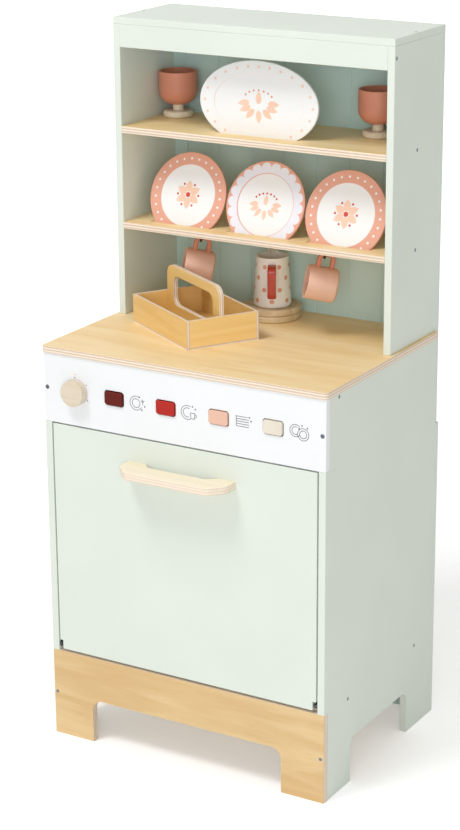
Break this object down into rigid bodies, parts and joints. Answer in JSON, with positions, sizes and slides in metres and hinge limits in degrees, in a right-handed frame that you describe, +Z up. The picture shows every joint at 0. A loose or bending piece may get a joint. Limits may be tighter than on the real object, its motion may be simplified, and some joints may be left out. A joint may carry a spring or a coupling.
{
  "type": "play kitchen",
  "caption": "Wooden play dishwasher with hutch: hinged door, dial, push buttons, shelves, plates, goblets, mugs, jug and carry caddy.",
  "frame": {"origin": "middle of the object's footprint on the floor, door handle included", "axes": "+Z up, -Y out of the door's front, +X to the right as seen from the front"},
  "size_m": [0.42, 0.358, 0.952],
  "materials": {
    "sage_paint": "matt painted wood",
    "white_paint": "satin painted wood",
    "blue_green_paint": "matt painted wood",
    "birch_ply": "clear satin",
    "pale_wood": "clear satin",
    "steel": "satin",
    "spring_steel": "polished",
    "magnet_grey": "matt",
    "catch_white": "matt",
    "dark_red_lacquer": "gloss lacquer",
    "red_lacquer": "gloss lacquer",
    "pink_lacquer": "gloss lacquer",
    "cream_lacquer": "gloss lacquer",
    "white_lacquer": "satin lacquer",
    "terracotta_lacquer": "satin lacquer",
    "salmon_lacquer": "satin lacquer"
  },
  "bodies": {
    "cabinet": {"side_panel_left": "sage_paint", "side_panel_right": "sage_paint", "plinth": "birch_ply", "control_panel": "white_paint", "worktop": "birch_ply", "floor_board": "birch_ply", "front_stretcher": "birch_ply", "lower_back_board": "blue_green_paint", "hutch_back_board": "blue_green_paint", "hutch_side_left": "sage_paint", "hutch_side_right": "sage_paint", "hutch_top": "sage_paint", "header_rail": "sage_paint", "upper_shelf": "birch_ply", "lower_shelf": "birch_ply", "cup_hooks": "steel", "button_guide_board": "birch_ply", "rack_rails": "pale_wood", "rack_pegs": "pale_wood", "catch_housings": "catch_white", "catch_magnets": "magnet_grey", "hinge_brackets": "steel", "hinge_bracket_screws": "steel", "control_panel_bolts": "steel", "panel_screws": "steel", "button_spring_1": "spring_steel", "button_spring_2": "spring_steel", "button_spring_3": "spring_steel", "button_spring_4": "spring_steel"},
    "door": {"door_panel": "sage_paint", "door_handle": "birch_ply", "handle_screws": "steel", "hinge_pins": "steel", "striker_plates": "steel"},
    "dial": {"dial_knob": "pale_wood", "dial_spindle": "pale_wood"},
    "push_button_1": {"button_1": "dark_red_lacquer"},
    "push_button_2": {"button_2": "red_lacquer"},
    "push_button_3": {"button_3": "pink_lacquer"},
    "push_button_4": {"button_4": "cream_lacquer"},
    "goblet_left": {"goblet_bowl_left": "terracotta_lacquer", "goblet_foot_left": "pale_wood"},
    "goblet_right": {"goblet_bowl_right": "terracotta_lacquer", "goblet_foot_right": "pale_wood"},
    "platter": {"serving_platter": "white_lacquer"},
    "dish_left": {"plate_left": "white_lacquer"},
    "dish_middle": {"plate_middle": "white_lacquer"},
    "dish_right": {"plate_right": "white_lacquer"},
    "mug_left": {"mug_body_left": "salmon_lacquer", "mug_handle_left": "terracotta_lacquer"},
    "mug_right": {"mug_body_right": "salmon_lacquer", "mug_handle_right": "terracotta_lacquer"},
    "caddy": {"caddy_long_sides": "birch_ply", "caddy_ends": "birch_ply", "caddy_base": "birch_ply", "caddy_divider": "birch_ply"},
    "dish_lower": {"saucer_lower": "pale_wood"},
    "dish_upper": {"saucer_upper": "pale_wood"},
    "jug": {"jug_body": "white_lacquer", "jug_handle": "red_lacquer"}
  },
  "joints": [
    {"name": "door_hinge", "type": "hinge", "parent": "cabinet", "child": "door", "pos_m": [0, -0.1346, 0.1332], "axis": [1, 0, 0], "range_deg": [0, 90]},
    {"name": "dial_turn", "type": "hinge", "parent": "cabinet", "child": "dial", "pos_m": [-0.1574, -0.138, 0.496], "axis": [0, 1, 0], "continuous": true},
    {"name": "button_1_press", "type": "slide", "parent": "cabinet", "child": "push_button_1", "axis": [0, 1, 0], "range_m": [0, 0.0025], "stiffness_N_per_m": 300, "deforming": ["button_spring_1"]},
    {"name": "button_2_press", "type": "slide", "parent": "cabinet", "child": "push_button_2", "axis": [0, 1, 0], "range_m": [0, 0.0025], "stiffness_N_per_m": 300, "deforming": ["button_spring_2"]},
    {"name": "button_3_press", "type": "slide", "parent": "cabinet", "child": "push_button_3", "axis": [0, 1, 0], "range_m": [0, 0.0025], "stiffness_N_per_m": 300, "deforming": ["button_spring_3"]},
    {"name": "button_4_press", "type": "slide", "parent": "cabinet", "child": "push_button_4", "axis": [0, 1, 0], "range_m": [0, 0.0025], "stiffness_N_per_m": 300, "deforming": ["button_spring_4"]},
    {"name": "goblet_left_out", "type": "slide", "parent": "cabinet", "child": "goblet_left", "axis": [0, -0.9848, 0.1736], "range_m": [0, 0.36]},
    {"name": "goblet_right_out", "type": "slide", "parent": "cabinet", "child": "goblet_right", "axis": [0, -0.9848, 0.1736], "range_m": [0, 0.36]},
    {"name": "platter_out", "type": "slide", "parent": "cabinet", "child": "platter", "axis": [0, -0.9848, 0.1736], "range_m": [0, 0.36]},
    {"name": "plate_left_out", "type": "slide", "parent": "cabinet", "child": "dish_left", "axis": [0, -0.9848, 0.1736], "range_m": [0, 0.36]},
    {"name": "plate_middle_out", "type": "slide", "parent": "cabinet", "child": "dish_middle", "axis": [0, -0.9848, 0.1736], "range_m": [0, 0.36]},
    {"name": "plate_right_out", "type": "slide", "parent": "cabinet", "child": "dish_right", "axis": [0, -0.9848, 0.1736], "range_m": [0, 0.36]},
    {"name": "mug_left_swing", "type": "hinge", "parent": "cabinet", "child": "mug_left", "pos_m": [-0.1005, 0.08, 0.656], "axis": [0.5707, -0.8211, 0], "range_deg": [-5, 35]},
    {"name": "mug_right_swing", "type": "hinge", "parent": "cabinet", "child": "mug_right", "pos_m": [0.0865, 0.08, 0.656], "axis": [0.5707, -0.8211, 0], "range_deg": [-30, 40]},
    {"name": "caddy_out", "type": "slide", "parent": "cabinet", "child": "caddy", "axis": [0, -0.9986, 0.0523], "range_m": [0, 0.36]},
    {"name": "dish_stack_out", "type": "slide", "parent": "cabinet", "child": "dish_lower", "axis": [0, -0.9986, 0.0523], "range_m": [0, 0.36]},
    {"name": "upper_dish_lift", "type": "slide", "parent": "dish_lower", "child": "dish_upper", "axis": [0, 0, 1], "range_m": [0, 0.005]},
    {"name": "jug_lift", "type": "slide", "parent": "dish_upper", "child": "jug", "axis": [0, 0, 1], "range_m": [0, 0.015]}
  ],
  "couplings": [
    {"joint": "dish_stack_out", "follows": "caddy_out", "ratio": 1}
  ]
}
